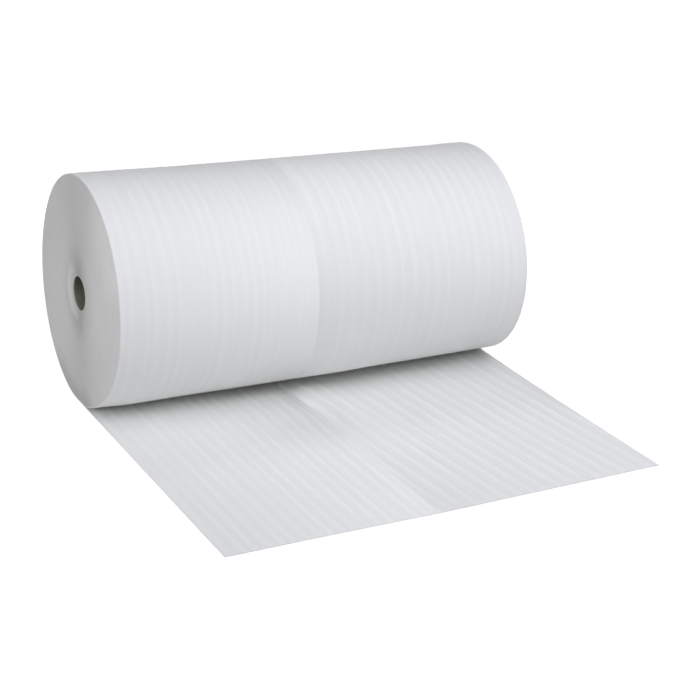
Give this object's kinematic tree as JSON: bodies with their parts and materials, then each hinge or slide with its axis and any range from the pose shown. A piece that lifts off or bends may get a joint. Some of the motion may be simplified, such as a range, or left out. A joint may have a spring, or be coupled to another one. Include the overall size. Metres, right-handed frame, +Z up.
{
  "type": "foam wrap roll",
  "caption": "Roll of thin white foam wrapping sheet, slit lengthwise and wound on a cardboard core, lying on its side with its free end laid out flat in front.",
  "frame": {"origin": "on the floor under the roll's axis, half-way along the roll", "axes": "+X along the roll's axis, the free sheet runs out towards -Y, +Z up"},
  "size_m": [1, 1.024, 0.5055],
  "materials": {
    "foam": "matt, finely ribbed along the sheet",
    "core_board": "plain spiral-wound board"
  },
  "bodies": {
    "root": {"core_tube": "core_board", "foam_web_left": "foam", "foam_web_right": "foam"}
  },
  "joints": []
}
